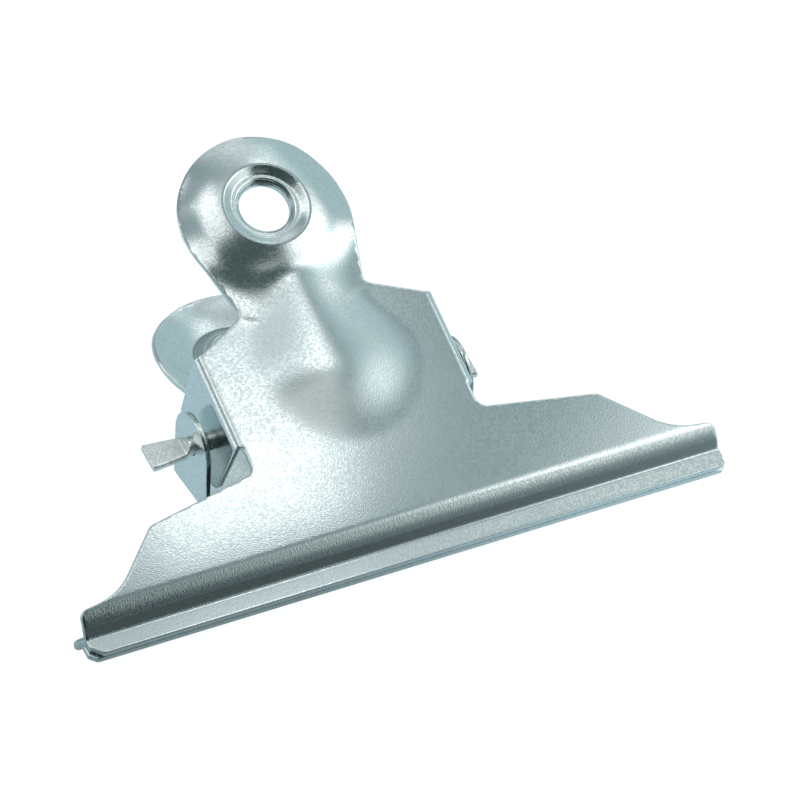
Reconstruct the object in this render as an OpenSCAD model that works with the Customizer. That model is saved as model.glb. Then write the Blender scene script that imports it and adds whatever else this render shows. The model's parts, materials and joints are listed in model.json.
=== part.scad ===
// Bulldog clip of plated sheet steel: two pressed jaws on one hinge pin, closed by a wound wire spring.
// The clip lies on the outer side of its rear jaw, with its mouth towards -Y and its handles towards +Y.
// All sizes are in millimetres.

/* [Mouth] */
// Width of the rear lip along the mouth
mouth_w = 95; // [80:1:120]
// How much shorter the front lip is at each end
front_inset = 0.3; // [0:0.1:1]
// Height of the flat lip
lip_h = 2.75; // [2:0.05:4]
// Gap between the two closed lips
lip_gap = 0.2; // [0.1:0.05:0.5]
// Corner cut off each lower end of the front lip
front_corner = 1.5; // [0.5:0.1:2]
// Corner cut off each lower end of the rear lip
rear_corner = 1; // [0.5:0.1:2]
// Length of the slanted strip between lip and body
slant_len = 3.1; // [2.8:0.1:5]
// Lean of the slanted strip away from upright
slant_tilt = 57; // [40:1:65]
// Outside radius of the bend between slanted strip and body
slant_bend_r = 2.5; // [1.5:0.1:3]
// Outside radius of the crease above the lip
crease_r = 0.5; // [0.3:0.1:1]

/* [Sheet and wings] */
// Thickness of the steel sheet
sheet_t = 0.8; // [0.6:0.05:1]
// Lean of each jaw's body away from the middle plane
body_tilt = 12.4; // [10:0.2:16]
// Rise of the wing's low outer end above the bend
wing_low = 1; // [0.5:0.1:2]
// Distance from the mouth's end to the foot of the wing's slope
wing_foot_in = 6.2; // [4:0.1:8]
// Height of the foot of the wing's slope
wing_foot_v = 1.8; // [1.5:0.1:3]
// Distance from the mouth's end to the wing's upper corner
wing_top_in = 14.1; // [12:0.1:17]
// Height of the wing's upper corner
wing_top_v = 9.7; // [8:0.1:11]
// Height at which the wing's upper edge reaches the ears
wing_root_v = 12.7; // [12:0.1:13.5]
// Rounding of the wing's outer end
wing_end_r = 1.3; // [0.5:0.1:2]
// Rounding at the foot of the slope
wing_foot_r = 10; // [4:0.5:11]
// Rounding of the wing's upper corner
wing_top_r = 1.8; // [0.5:0.1:3]
// Rounding of the relief notch where the wing meets the body's side
notch_r = 1.6; // [0.5:0.1:2]

/* [Body and neck] */
// Half width over the front jaw's ears
front_half_w = 17.85; // [16:0.05:20]
// Free space between the front and the rear ears on each side
ear_gap = 1.5; // [0.3:0.1:2]
// Height at which the body's side ends and its shoulder begins
shoulder_v = 31.4; // [31:0.1:33]
// Height at which the shoulder reaches the neck
neck_v = 34.8; // [34:0.1:36]
// Half width of the neck
neck_half_w = 9.2; // [8:0.1:11]
// Rounding of the shoulder's outer corner
shoulder_r = 1.2; // [0.5:0.1:2]
// Rounding in the corner between shoulder and neck
neck_r = 1; // [0.5:0.1:2]
// Height of the raised tongue that runs from body to neck
tongue_rise = 1.1; // [0.8:0.1:1.6]
// Radius of the raised tongue's crown
tongue_r = 40; // [30:1:60]
// Height of the middle of the tongue's round end
tongue_v = 25; // [23:0.5:28]

/* [Handle] */
// Radius of the round end of the handle
handle_r = 12.2; // [10.5:0.1:13]
// Height of the round end's middle above the top of the shoulders
handle_rise = 12.9; // [11:0.1:15]
// Radius of the handle's domed outside
dome_r = 28; // [24:1:45]
// Radius of the hollow bend by which the dome rises from the neck
dome_foot_r = 20; // [12:1:24]
// Distance from the round end's middle up to the dome's highest point
dome_lead = 1.6; // [0:0.1:4]
// Rise of the dome above the body's outside
dome_rise = 3.1; // [2.2:0.1:3.4]
// Distance from the round end's middle up to the middle of the hanging hole
hole_lead = 0.8; // [0:0.1:3]
// Radius of the hanging hole
hole_r = 3.6; // [2.5:0.05:4]
// Radius of the pressed ring round the hole
ring_r = 6; // [5.5:0.1:6.5]
// Radius of the step halfway down the ring
step_r = 4.7; // [4.5:0.05:5]
// Depth of the step below the ring's edge
step_depth = 0.9; // [0.5:0.05:1.1]
// Depth of the hole's edge below the ring's edge
hole_depth = 1.5; // [1.2:0.05:1.8]

/* [Ears] */
// Outside radius of the fold between body and ear
fold_r = 1.05; // [0.95:0.05:1.4]
// Height at which the front ears begin
front_ear_low = 16.7; // [16:0.1:17.5]
// Height at which the front ears end
front_ear_high = 30.7; // [29:0.1:31]
// How much the front ear's upper edge falls by its free end
front_ear_fall = 1.6; // [0:0.1:2]
// Rounding of the front ear's free corners
front_ear_r = 2; // [1:0.1:4]
// Steel round the pin at the ears' free ends
ear_wall = 3.5; // [2.5:0.1:4]

/* [Pin] */
// Diameter of the hinge pin
pin_d = 2.5; // [2:0.1:3]
// Height of the pin's axis above the lower edge of the lips
pin_h = 28; // [26:0.1:30]
// Free space round the pin in the ears' holes
pin_play = 0.08; // [0.03:0.01:0.1]
// Free space between the rear ears and the flattened ends
end_play = 0.2; // [0.1:0.05:0.5]
// Length of the flattened end on the left
left_end = 6.2; // [3:0.1:8]
// Length of the flattened end on the right
right_end = 1.9; // [1.5:0.1:6]
// Width of a flattened end at its tip
flat_w = 4.2; // [3.5:0.1:5]
// Width of a flattened end at its root
flat_root_w = 3.1; // [2.8:0.1:3.5]
// Thickness of a flattened end
flat_t = 1.1; // [0.8:0.1:1.5]

/* [Spring] */
// Diameter of the spring's wire
wire_d = 1.6; // [1.2:0.1:2]
// Radius of the winding to the middle of its wire
coil_r = 3.2; // [3:0.1:4.5]
// Whole turns of the winding, before the part turn that leads to the second leg
coil_turns = 6; // [3:1:7]
// Free space between one turn and the next
coil_gap = 0.5; // [0.45:0.05:1]
// Length of each straight leg
leg_len = 14; // [11:0.5:14.5]
// Free space between a leg's tip and the handle it pushes
leg_gap = 0.15; // [0.05:0.05:0.3]

/* [Hidden] */
plated = "#b9c6c8";
plated_light = "#c6d0d1";
bare_steel = "#cfcac4";
spring_steel = "#8d9496";
arc_fn = 96;
// Steps in each half of the handle's round end
lobe_steps = 16;
// Steps in the dome's round top and in its foot
dome_steps = 10;
foot_steps = 6;
// Depth to which the dome's solid reaches below the body's outside
dome_root = 2;
// Reach of a cutting block past the sheet that it trims
reach = 20;
// Thin overlap with which a cutter passes a face
past = 0.1;

// Outlines, and the middle plane at y = 0: the front jaw's outer faces look towards -Y, and z counts up from the lips' lower edge.
wing_foot_x = mouth_w / 2 - wing_foot_in;
wing_top_x = mouth_w / 2 - wing_top_in;
handle_v = neck_v + handle_rise;
dome_v = handle_v + dome_lead;
hole_v = handle_v + hole_lead;
crease_y = -(lip_gap / 2 + sheet_t);
bend_y = crease_y - slant_len * sin(slant_tilt);
bend_z = lip_h + slant_len * cos(slant_tilt);
slant_turn = slant_tilt - body_tilt;
bend_setback = slant_bend_r * tan(slant_turn / 2);

// Place of the pin in a jaw's own plane: v runs up the body's outside, w stands off it outwards.
pin_v = bend_y * sin(body_tilt) + (pin_h - bend_z) * cos(body_tilt);
pin_w = bend_y * cos(body_tilt) - (pin_h - bend_z) * sin(body_tilt);
ear_end_w = pin_w - pin_d / 2 - ear_wall;
rear_ear_r = pin_d / 2 + ear_wall;

// Pressed forms: middles of the dome and of the tongue's crown below the body's outside
dome_w = dome_rise - dome_r;
tongue_w = tongue_rise - tongue_r;
// Where the dome's foot runs out on the body, and the slope at which foot and dome meet
dome_foot = sqrt(pow(dome_r + dome_foot_r, 2) - pow(dome_foot_r - dome_w, 2));
dome_slope = asin(dome_foot / (dome_r + dome_foot_r));
// Width of the slope between the step and the hole's edge
ring_slope = 0.5;
// Reach of the ring's rim into the sheet round it, which makes one piece of both
ring_lap = 0.3;
// The ring is pressed square to the dome, so its axis leans with the dome at the hole.
ring_lean = asin((dome_v - hole_v) / dome_r);
ring_top = sqrt(dome_r * dome_r - ring_r * ring_r);
ring_under = sqrt(pow(dome_r - sheet_t, 2) - ring_r * ring_r);

rear_half_w = front_half_w + ear_gap + sheet_t;
flat_tip_r = 0.4;
flat_taper = 1.2;
pin_root = rear_half_w + end_play;

// The clip lies on the rear jaw's bend and on the rim of its pressed ring, at one end of the rim or the other.
function rim_end(side) = [dome_v, dome_w] + turned([side * ring_r, ring_top], ring_lean);
function lean_on(p) = asin(slant_bend_r / norm(p + [-bend_setback, slant_bend_r]))
    - atan2(p[1] + slant_bend_r, p[0] - bend_setback);
rest_lean = min(lean_on(rim_end(1)), lean_on(rim_end(-1)));
rest_tilt = body_tilt - rest_lean;
// Lift of the upright clip once it is tilted back, which sets the rear jaw's bend on the table
floor_h = -bend_y * cos(rest_tilt) - bend_z * sin(rest_tilt) + bend_setback * sin(rest_lean)
    + slant_bend_r * (1 - cos(rest_lean));
// Reach of the clip along the table, from the front lip to the rear handle's tip
tip_v = handle_v + handle_r;
tip_w = dome_w + sqrt(dome_r * dome_r - pow(tip_v - dome_v, 2));
tip_y = tip_v * cos(rest_lean) - tip_w * sin(rest_lean) - bend_y * sin(rest_tilt) + bend_z * cos(rest_tilt);
mouth_y = crease_y * sin(rest_tilt);

// Points of an outline whose corners [x, y, radius] are rounded by arcs
function corner_arc(a, b, c, r, n = 8) =
    let (u = (a - b) / norm(a - b), w = (c - b) / norm(c - b))
    let (half = acos(u * w) / 2, m = b + (u + w) / norm(u + w) * r / sin(half))
    let (p = b + u * r / tan(half) - m, q = b + w * r / tan(half) - m)
    let (from = atan2(p[1], p[0]), sweep = ((atan2(q[1], q[0]) - from + 540) % 360) - 180)
    [for (i = [0:n]) m + r * [cos(from + sweep * i / n), sin(from + sweep * i / n)]];
function rounded(c) =
    let (k = len(c), at = [for (p = c) [p[0], p[1]]])
    [for (i = [0:k - 1]) each c[i][2] == 0 ? [at[i]]
        : corner_arc(at[(i + k - 1) % k], at[i], at[(i + 1) % k], c[i][2])];

function turned(p, a) = [p[0] * cos(a) - p[1] * sin(a), p[0] * sin(a) + p[1] * cos(a)];

// Side view of the whole sheet, with the body's outside along the X axis and the lip towards +X
module side_profile() {
    slant = turned([slant_len, 0], -slant_turn);
    lip = slant + turned([lip_h, 0], body_tilt);
    under_bend = -sheet_t * [tan(slant_turn / 2), 1];
    under_crease = slant + turned(sheet_t * [tan(slant_tilt / 2), -1], -slant_turn);
    polygon(rounded([
        [-tip_v - past, 0, 0],
        [0, 0, slant_bend_r],
        [slant[0], slant[1], crease_r],
        [lip[0], lip[1], 0],
        [each lip + turned([0, -sheet_t], body_tilt), 0],
        [each under_crease, crease_r + sheet_t],
        [each under_bend, slant_bend_r - sheet_t],
        [-tip_v - past, -sheet_t, 0],
    ]));
}

// Turn at which a line from the neck's corner touches the handle's round end
neck_reach = norm([neck_half_w, handle_v - neck_v]);
touch_turn = acos(handle_r / neck_reach) - atan2(handle_v - neck_v, neck_half_w);

// Flat outline of a jaw; side is the straight edge that its ear folds from
function half_blank(half_mouth, side) = rounded([
    [half_mouth, -reach, 0],
    [half_mouth, wing_low, wing_end_r],
    [wing_foot_x, wing_foot_v, wing_foot_r],
    [wing_top_x, wing_top_v, wing_top_r],
    [side, wing_root_v, notch_r],
    [side, shoulder_v, shoulder_r],
    [neck_half_w, neck_v, neck_r],
    handle_r * [cos(touch_turn), sin(touch_turn), 0] + [0, handle_v, 0],
]);
module blank(half_mouth, side) {
    right = half_blank(half_mouth, side);
    top = 90 - touch_turn;
    polygon(concat(
        right,
        [for (i = [1:2 * lobe_steps - 1]) let (a = touch_turn + top * i / lobe_steps)
            [handle_r * cos(a), handle_v + handle_r * sin(a)]],
        [for (i = [len(right) - 1:-1:0]) [-right[i][0], right[i][1]]]
    ));
}

// Bent and pressed sheet before its outline is cut: the body's outside is the plane w = 0
module pressed_sheet(half_mouth) {
    difference() {
        union() {
            rotate([90, 0, -90]) linear_extrude(2 * half_mouth, center = true) side_profile();
            intersection() {
                translate([-half_mouth, 0, -sheet_t]) cube([2 * half_mouth, tip_v, reach]);
                union() {
                    tongue(tongue_r);
                    dome(0);
                }
            }
        }
        tongue(tongue_r - sheet_t);
        dome(sheet_t);
    }
}

module tongue(r) {
    translate([0, tongue_v, tongue_w]) {
        sphere(r, $fn = arc_fn);
        rotate([-90, 0, 0]) cylinder(dome_v - tongue_v, r, r, $fn = arc_fn);
    }
}

// The dome and its foot, or the same surface pressed in by some depth
module dome(inside) {
    top = [for (i = [0:dome_steps]) let (a = dome_slope * i / dome_steps)
        [0, dome_w] + (dome_r - inside) * [sin(a), cos(a)]];
    foot = [for (i = [foot_steps - 1:-1:0]) let (a = dome_slope * i / foot_steps)
        [dome_foot, dome_foot_r] - (dome_foot_r + inside) * [sin(a), cos(a)]];
    translate([0, dome_v, 0]) rotate_extrude($fn = arc_fn)
        polygon(concat(top, foot, [[dome_foot, -dome_root], [0, -dome_root]]));
}

module at_hole() {
    translate([0, dome_v, dome_w]) rotate([ring_lean, 0, 0]) children();
}

// Pressed ring round the hanging hole: two steps down from the dome's outside
module ring() {
    rotate_extrude($fn = arc_fn) polygon([
        [ring_r, ring_under],
        [ring_r + ring_lap, (ring_under + ring_top) / 2],
        [ring_r, ring_top],
        [step_r, ring_top - step_depth],
        [step_r - ring_slope, ring_top - step_depth],
        [hole_r, ring_top - hole_depth],
        [hole_r, ring_top - hole_depth - sheet_t],
        [step_r - ring_slope, ring_top - step_depth - sheet_t],
        [step_r, ring_top - step_depth - sheet_t],
    ]);
}

module front_ear_outline() {
    polygon(rounded([
        [front_ear_low, -fold_r, 0],
        [front_ear_low, ear_end_w, front_ear_r],
        [front_ear_high - front_ear_fall, ear_end_w, front_ear_r],
        [front_ear_high, -fold_r, 0],
    ]));
}

module rear_ear_outline() {
    translate([pin_v - rear_ear_r, pin_w]) square([2 * rear_ear_r, -pin_w - fold_r]);
    translate([pin_v, pin_w]) circle(rear_ear_r, $fn = arc_fn);
}

// Ears on both sides: a quarter round fold along the body's side, and a flat tab drilled for the pin
module ears(half_w, low, high) {
    for (side = [0, 1]) mirror([side, 0, 0]) {
        translate([half_w - fold_r, high, -fold_r]) rotate([90, 0, 0]) rotate_extrude(angle = 90, $fn = arc_fn)
            translate([fold_r - sheet_t, 0]) square([sheet_t, high - low]);
        translate([half_w - sheet_t, 0, 0]) rotate([90, 0, 90]) linear_extrude(sheet_t) difference() {
            children();
            translate([pin_v, pin_w]) circle(pin_d / 2 + pin_play, $fn = arc_fn);
        }
    }
}

// One jaw in its own plane, with its ears as children
module jaw(half_mouth, half_w) {
    difference() {
        intersection() {
            pressed_sheet(half_mouth);
            translate([0, 0, -reach]) linear_extrude(2 * reach) blank(half_mouth, half_w - fold_r);
        }
        at_hole() cylinder(dome_r + reach, ring_r, ring_r, $fn = arc_fn);
    }
    at_hole() ring();
    children();
}

// From a jaw's own plane to the upright clip, with the front jaw's outside towards -Y
module upright() {
    translate([0, bend_y, bend_z]) rotate([90 + body_tilt, 0, 0]) children();
}

// Lower corners cut off both ends of a lip, in the upright clip
module lip_corners(half_mouth, cut) {
    for (side = [0, 1]) mirror([side, 0, 0]) translate([half_mouth, 0, 0]) rotate([90, 0, 0])
        linear_extrude(2 * reach, center = true) polygon([[-cut, -past], [past, -past], [past, cut], [0, cut]]);
}

// The upright clip laid on its rear jaw
module laid() {
    translate([0, -(tip_y + mouth_y) / 2, floor_h]) rotate([rest_tilt - 90, 0, 0]) children();
}

module front_jaw() {
    half_mouth = mouth_w / 2 - front_inset;
    color(plated) laid() difference() {
        upright() jaw(half_mouth, front_half_w)
            ears(front_half_w, front_ear_low, front_ear_high) front_ear_outline();
        lip_corners(half_mouth, front_corner);
    }
}

module rear_jaw() {
    color(plated_light) laid() mirror([0, 1, 0]) difference() {
        upright() jaw(mouth_w / 2, rear_half_w)
            ears(rear_half_w, pin_v - rear_ear_r, pin_v + rear_ear_r) rear_ear_outline();
        lip_corners(mouth_w / 2, rear_corner);
    }
}

// Flattened end of the pin, from its root at the origin towards +X; it widens to the tip
module flat_end(length) {
    hull() {
        rotate([0, 90, 0]) cylinder(past, pin_d / 2, pin_d / 2, $fn = 32);
        translate([flat_taper, -flat_t / 2, -flat_root_w / 2]) cube([past, flat_t, flat_root_w]);
    }
    translate([0, flat_t / 2, 0]) rotate([90, 0, 0]) linear_extrude(flat_t) polygon(rounded([
        [0, -flat_root_w / 2, 0],
        [length, -flat_w / 2, flat_tip_r],
        [length, flat_w / 2, flat_tip_r],
        [0, flat_root_w / 2, 0],
    ]));
}

module hinge_pin() {
    color(bare_steel) laid() translate([0, 0, pin_h]) {
        translate([-pin_root, 0, 0]) rotate([0, 90, 0]) cylinder(2 * pin_root, pin_d / 2, pin_d / 2, $fn = arc_fn);
        translate([pin_root, 0, 0]) flat_end(right_end);
        translate([-pin_root, 0, 0]) mirror([1, 0, 0]) flat_end(left_end);
    }
}

// The legs lie under the tongue, whose hollow side stands this far off the body's outside there
coil_pitch = wire_d + coil_gap;
coil_half = coil_pitch * (coil_turns + 0.5) / 2;
hollow_w = tongue_w + sqrt(pow(tongue_r - sheet_t, 2) - coil_half * coil_half);
leg_seat = hollow_w - pin_w - wire_d / 2 - leg_gap;
leg_lean = body_tilt + asin(leg_seat / norm([coil_r, leg_len])) - atan2(coil_r, leg_len);
coil_sweep = 360 * (coil_turns + 0.5) - 2 * leg_lean;
coil_rings = round(coil_sweep / 45);

// Middle line of the wire: straight leg, winding round the pin, straight leg
function coil_point(part) =
    let (turn = 180 + leg_lean + part * coil_sweep)
    [coil_half * (2 * part - 1), coil_r * cos(turn), coil_r * sin(turn)];
wire_line = [
    coil_point(0) + leg_len * [0, -sin(leg_lean), cos(leg_lean)],
    coil_point(0) + wire_d * [0, -sin(leg_lean), cos(leg_lean)],
    for (i = [0:coil_rings]) coil_point(i / coil_rings),
    coil_point(1) + wire_d * [0, sin(leg_lean), cos(leg_lean)],
    coil_point(1) + leg_len * [0, sin(leg_lean), cos(leg_lean)],
];
wire_last = len(wire_line) - 1;
wire_gap = min([for (i = [0:wire_last - 4]) for (j = [i + 4:wire_last]) norm(wire_line[i] - wire_line[j])]) - wire_d;
echo(least_gap_of_the_wire_to_itself = wire_gap);

// Round wire of six sides swept along a line of points
function along(line, i) =
    let (a = line[max(i - 1, 0)], b = line[min(i + 1, len(line) - 1)]) (b - a) / norm(b - a);
module wire(line, d) {
    sides = 6;
    rings = len(line);
    points = [for (i = [0:rings - 1])
        let (t = along(line, i), u = cross(t, [1, 0, 0]) / norm(cross(t, [1, 0, 0])), w = cross(t, u))
        for (k = [0:sides - 1]) line[i] + d / 2 * (cos(360 * k / sides) * u + sin(360 * k / sides) * w)];
    skin = [for (i = [0:rings - 2]) for (k = [0:sides - 1])
        let (a = i * sides + k, b = i * sides + (k + 1) % sides)
        each [[a, b, b + sides], [a, b + sides, a + sides]]];
    first = [for (k = [1:sides - 2]) [0, k + 1, k]];
    end = (rings - 1) * sides;
    last = [for (k = [1:sides - 2]) [end, end + k, end + k + 1]];
    polyhedron(points, concat(skin, first, last));
}

module spring() {
    color(spring_steel) laid() translate([0, 0, pin_h]) wire(wire_line, wire_d);
}

rear_jaw();
front_jaw();
hinge_pin();
spring();
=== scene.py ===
# %% [markdown]
# A wide bulldog clip of plated steel, dressed for its portrait.
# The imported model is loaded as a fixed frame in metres: two jaws, a hinge pin and a wound spring.
# Every piece made below sits in the same place as its solid, and only its surface gets finer.

# %% The frame
import json
import math
import bpy
import numpy as np
from mathutils import Matrix, Vector
from mathutils.geometry import delaunay_2d_cdt

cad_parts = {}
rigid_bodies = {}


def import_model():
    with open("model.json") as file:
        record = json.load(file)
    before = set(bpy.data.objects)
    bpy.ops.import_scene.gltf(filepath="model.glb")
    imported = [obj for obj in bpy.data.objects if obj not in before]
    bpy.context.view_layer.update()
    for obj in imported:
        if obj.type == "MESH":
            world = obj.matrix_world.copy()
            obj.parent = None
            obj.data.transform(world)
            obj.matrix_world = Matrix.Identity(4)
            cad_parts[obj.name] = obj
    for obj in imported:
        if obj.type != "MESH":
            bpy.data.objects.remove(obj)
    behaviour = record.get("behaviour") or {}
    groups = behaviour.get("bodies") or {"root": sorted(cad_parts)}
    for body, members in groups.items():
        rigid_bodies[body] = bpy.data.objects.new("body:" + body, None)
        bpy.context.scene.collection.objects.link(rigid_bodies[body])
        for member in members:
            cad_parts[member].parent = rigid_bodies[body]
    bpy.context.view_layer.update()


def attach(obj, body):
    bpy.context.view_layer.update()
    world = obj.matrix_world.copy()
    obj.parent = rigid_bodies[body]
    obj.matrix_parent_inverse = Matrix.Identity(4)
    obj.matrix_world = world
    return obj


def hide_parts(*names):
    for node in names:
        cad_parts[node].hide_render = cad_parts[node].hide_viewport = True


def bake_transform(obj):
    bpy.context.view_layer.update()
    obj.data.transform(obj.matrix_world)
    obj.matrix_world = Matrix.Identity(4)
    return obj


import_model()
MM = 0.001

# %% [markdown]
# A jaw is one flat blank of sheet steel that a press bends and raises, so it is drawn here the way it
# is made: a blank in two parameters, x across and t up along the outside of the sheet.
# The sizes are the real ones in millimetres, the same as those of the solids.

# %% Sizes of the sheet
SHEET = 0.8
BODY_TILT = math.radians(12.4)
LIP_H, LIP_GAP, CREASE_R = 2.75, 0.2, 0.5
SLANT_LEN, SLANT_TILT, BEND_R = 3.1, math.radians(57), 2.5
TONGUE_R, TONGUE_RISE, TONGUE_V = 40, 1.1, 25
NECK_W, NECK_V = 9.2, 34.8
HANDLE_R, HANDLE_V = 12.2, 47.7
DOME_R, DOME_RISE, DOME_V, FOOT_R = 28, 3.1, 49.3, 20
HOLE_V, HOLE_R, RING_R = 48.5, 3.6, 6.0
FOLD_R, FOLD_FROM = 1.05, 15
PIN_D, PIN_H, PIN_HOLE_R = 2.5, 28, 1.33
slant_turn = SLANT_TILT - BODY_TILT
bend_setback = BEND_R * math.tan(slant_turn / 2)
bend_y = -(LIP_GAP / 2 + SHEET) - SLANT_LEN * math.sin(SLANT_TILT)
bend_z = LIP_H + SLANT_LEN * math.cos(SLANT_TILT)
pin_v = bend_y * math.sin(BODY_TILT) + (PIN_H - bend_z) * math.cos(BODY_TILT)
pin_w = bend_y * math.cos(BODY_TILT) - (PIN_H - bend_z) * math.sin(BODY_TILT)
print(f"pin axis at {pin_v:.2f} up the body and {-pin_w:.2f} inside it")

# %% [markdown]
# The closed clip lies on its rear jaw. Two turns carry a point of the jaw's own plane into the frame:
# the body leans away from the middle plane, and the whole clip is tilted back until it rests.

# %% From a jaw's plane to the frame
dome_w, tongue_w = DOME_RISE - DOME_R, TONGUE_RISE - TONGUE_R
ring_lean = math.asin((DOME_V - HOLE_V) / DOME_R)
ring_top = math.sqrt(DOME_R**2 - RING_R**2)


def lean_on(side):
    """Lean of a table that touches the bend and one end of the ring's rim, from the body's plane."""
    v = DOME_V + side * RING_R * math.cos(ring_lean) - ring_top * math.sin(ring_lean) - bend_setback
    w = dome_w + side * RING_R * math.sin(ring_lean) + ring_top * math.cos(ring_lean) + BEND_R
    return math.asin(BEND_R / math.hypot(v, w)) - math.atan2(w, v)


rest_lean = min(lean_on(1), lean_on(-1))
rest_tilt = BODY_TILT - rest_lean
floor_h = -bend_y * math.cos(rest_tilt) - bend_z * math.sin(rest_tilt)
floor_h += bend_setback * math.sin(rest_lean) + BEND_R * (1 - math.cos(rest_lean))
tip_v = HANDLE_V + HANDLE_R
tip_w = dome_w + math.sqrt(DOME_R**2 - (tip_v - DOME_V) ** 2)
tip_y = tip_v * math.cos(rest_lean) - tip_w * math.sin(rest_lean)
tip_y += -bend_y * math.sin(rest_tilt) + bend_z * math.cos(rest_tilt)
shift_y = -(tip_y - (LIP_GAP / 2 + SHEET) * math.sin(rest_tilt)) / 2


def laid(p):
    """Upright clip to frame, in metres: turn about X until the rear jaw lies on the surface."""
    s, c = math.sin(rest_tilt), math.cos(rest_tilt)
    y, z = p[..., 1], p[..., 2]
    return np.stack([p[..., 0], y * s + z * c + shift_y, z * s - y * c + floor_h], -1) * MM


def placed(p, side):
    """Jaw plane (x, v, w) to frame: lean the body out; side is -1 for the front jaw, 1 for the rear."""
    s, c = math.sin(BODY_TILT), math.cos(BODY_TILT)
    y = bend_y - p[..., 1] * s - p[..., 2] * c
    z = bend_z + p[..., 1] * c - p[..., 2] * s
    return laid(np.stack([p[..., 0], -side * y, z], -1))


pin_at = laid(np.array([0, 0, PIN_H], float))
print("pin axis in the frame:", (pin_at / MM).round(3), "mm")

# %% [markdown]
# Seen from the side the sheet runs down the body, round the bend, down the slanted strip, round the
# crease and down the lip. Its heading changes evenly round each bend, so the path is walked in very
# short steps, and any height t is then looked up on it. A press leaves the wide bend softer than a
# drawing has it, so it is drawn here with a larger radius, which moves the steel by a tenth of a
# millimetre.

# %% The sheet's side view
SOFT_BEND_R = 4.0
soft_setback = SOFT_BEND_R * math.tan(slant_turn / 2)
crease_setback = CREASE_R * math.tan(SLANT_TILT / 2)
strip_run = SLANT_LEN - soft_setback - crease_setback
runs = np.cumsum([0, SOFT_BEND_R * slant_turn, strip_run, CREASE_R * SLANT_TILT, LIP_H - crease_setback])
turns = np.array([0, -slant_turn, -slant_turn, BODY_TILT, BODY_TILT])
walk = np.linspace(0, runs[-1], 6001)
heading = np.interp(walk, runs, turns)
middle = (heading[1:] + heading[:-1]) / 2
step = np.diff(walk)
walk_v = soft_setback - np.concatenate([[0], np.cumsum(step * np.cos(middle))])
walk_w = np.concatenate([[0], np.cumsum(step * np.sin(middle))])
T_LIP = soft_setback - runs[-1]


def side_path(t):
    """Place (v, w) of the outside at height t, and the way (v, w) that it faces."""
    s = np.clip(soft_setback - t, 0, None)
    v = np.where(t > soft_setback, t, np.interp(s, walk, walk_v))
    a = np.interp(s, walk, heading)
    return v, np.interp(s, walk, walk_w), np.sin(a), np.cos(a)


lip_at = [round(float(c), 2) for c in side_path(np.array(T_LIP))[:2]]
print(f"lip's lower edge at t = {T_LIP:.2f}, at v, w =", lip_at)

# %% [markdown]
# The press raises a long tongue up the middle and a dome on the handle, and turns the handle's rim
# down so that it is kind to the fingers. The tongue swells gently like a wave and narrows on its way
# into the neck, the dome is a cap of a sphere on a hollow foot. The steel flows from one into the
# next, so they are joined by a soft maximum: heights that differ by less than a reach k are lifted by
# the square of what is left of k. The rim turns down less at the tip, which leaves the two handles
# room when they are pressed together.

# %% The pressed forms
TONGUE_REACH, NECK_REACH, JOIN_REACH = 13.0, 8.8, 0.5
PAST_FOOT = 0.3
ROLL_FALL, ROLL_WIDTH, ROLL_FROM, ROLL_RUN = 0.9, 5.0, 42.0, 7.5
TIP_FROM, TIP_RUN, TIP_EASE = 53.0, 5, 0.6
touch = math.acos(HANDLE_R / math.hypot(NECK_W, HANDLE_V - NECK_V))
touch -= math.atan2(HANDLE_V - NECK_V, NECK_W)


def soft_max(a, b, k):
    """The larger of a and b, plus (k - |a - b|) squared over 4k where they are close."""
    return np.maximum(a, b) + np.maximum(k - np.abs(a - b), 0) ** 2 / (4 * k)


def eased(value, start, run):
    """0 before start, 1 after a run from there, and an S between: three squares less two cubes."""
    part = np.clip((value - start) / run, 0, 1)
    return part * part * (3 - 2 * part)


def tongue_height(x, v):
    """Half a wave of a cosine across, TONGUE_RISE high and narrower in the neck, round at its end."""
    far = np.hypot(x, np.minimum(v - TONGUE_V, 0))
    reach = TONGUE_REACH + (NECK_REACH - TONGUE_REACH) * eased(v, TONGUE_V, NECK_V - TONGUE_V)
    return TONGUE_RISE * (1 + np.cos(math.pi * np.minimum(far / reach, 1))) / 2


def dome_height(x, v):
    """A sphere's cap out to where its hollow foot begins, the foot, and below zero past the foot."""
    r = np.hypot(x, v - DOME_V)
    foot = math.sqrt((DOME_R + FOOT_R) ** 2 - (FOOT_R - dome_w) ** 2)
    cap = dome_w + np.sqrt(np.clip(DOME_R**2 - r * r, 0, None))
    hollow = FOOT_R - np.sqrt(np.clip(FOOT_R**2 - (foot - r) ** 2, 0, None))
    join = DOME_R * foot / (DOME_R + FOOT_R)
    return np.where(r < join, cap, np.where(r < foot, hollow, PAST_FOOT * (foot - r)))


def rim_distance(x, v):
    """Distance inwards from the handle's outline: its round end, and the straight sides that touch it."""
    lobe = HANDLE_R - np.hypot(x, v - HANDLE_V)
    sides = HANDLE_R - np.abs(x) * math.cos(touch) - (v - HANDLE_V) * math.sin(touch)
    return np.where(np.arctan2(v - HANDLE_V, np.abs(x)) > touch, lobe, sides)


def raised(x, v):
    """Height of the outside above the flat body: the pressed forms less the square fall of the rim."""
    whole = soft_max(tongue_height(x, v), dome_height(x, v), JOIN_REACH)
    inside = np.clip(1 - np.clip(rim_distance(x, v), 0, None) / ROLL_WIDTH, 0, None)
    share = eased(v, ROLL_FROM, ROLL_RUN) * (1 - TIP_EASE * eased(v, TIP_FROM, TIP_RUN))
    return whole - ROLL_FALL * inside**2 * share


print("heights on the middle line:", raised(np.zeros(5), np.array([12.0, 25, 38, 43, 54])).round(2))

# %% [markdown]
# The hanging hole sits in a ring that is pressed in two steps. The ring is square to the dome, so it
# is measured as a distance from an axis that leans with the dome there. The fall of each step is
# averaged over a short width, which rounds its corners as a press does.

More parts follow.
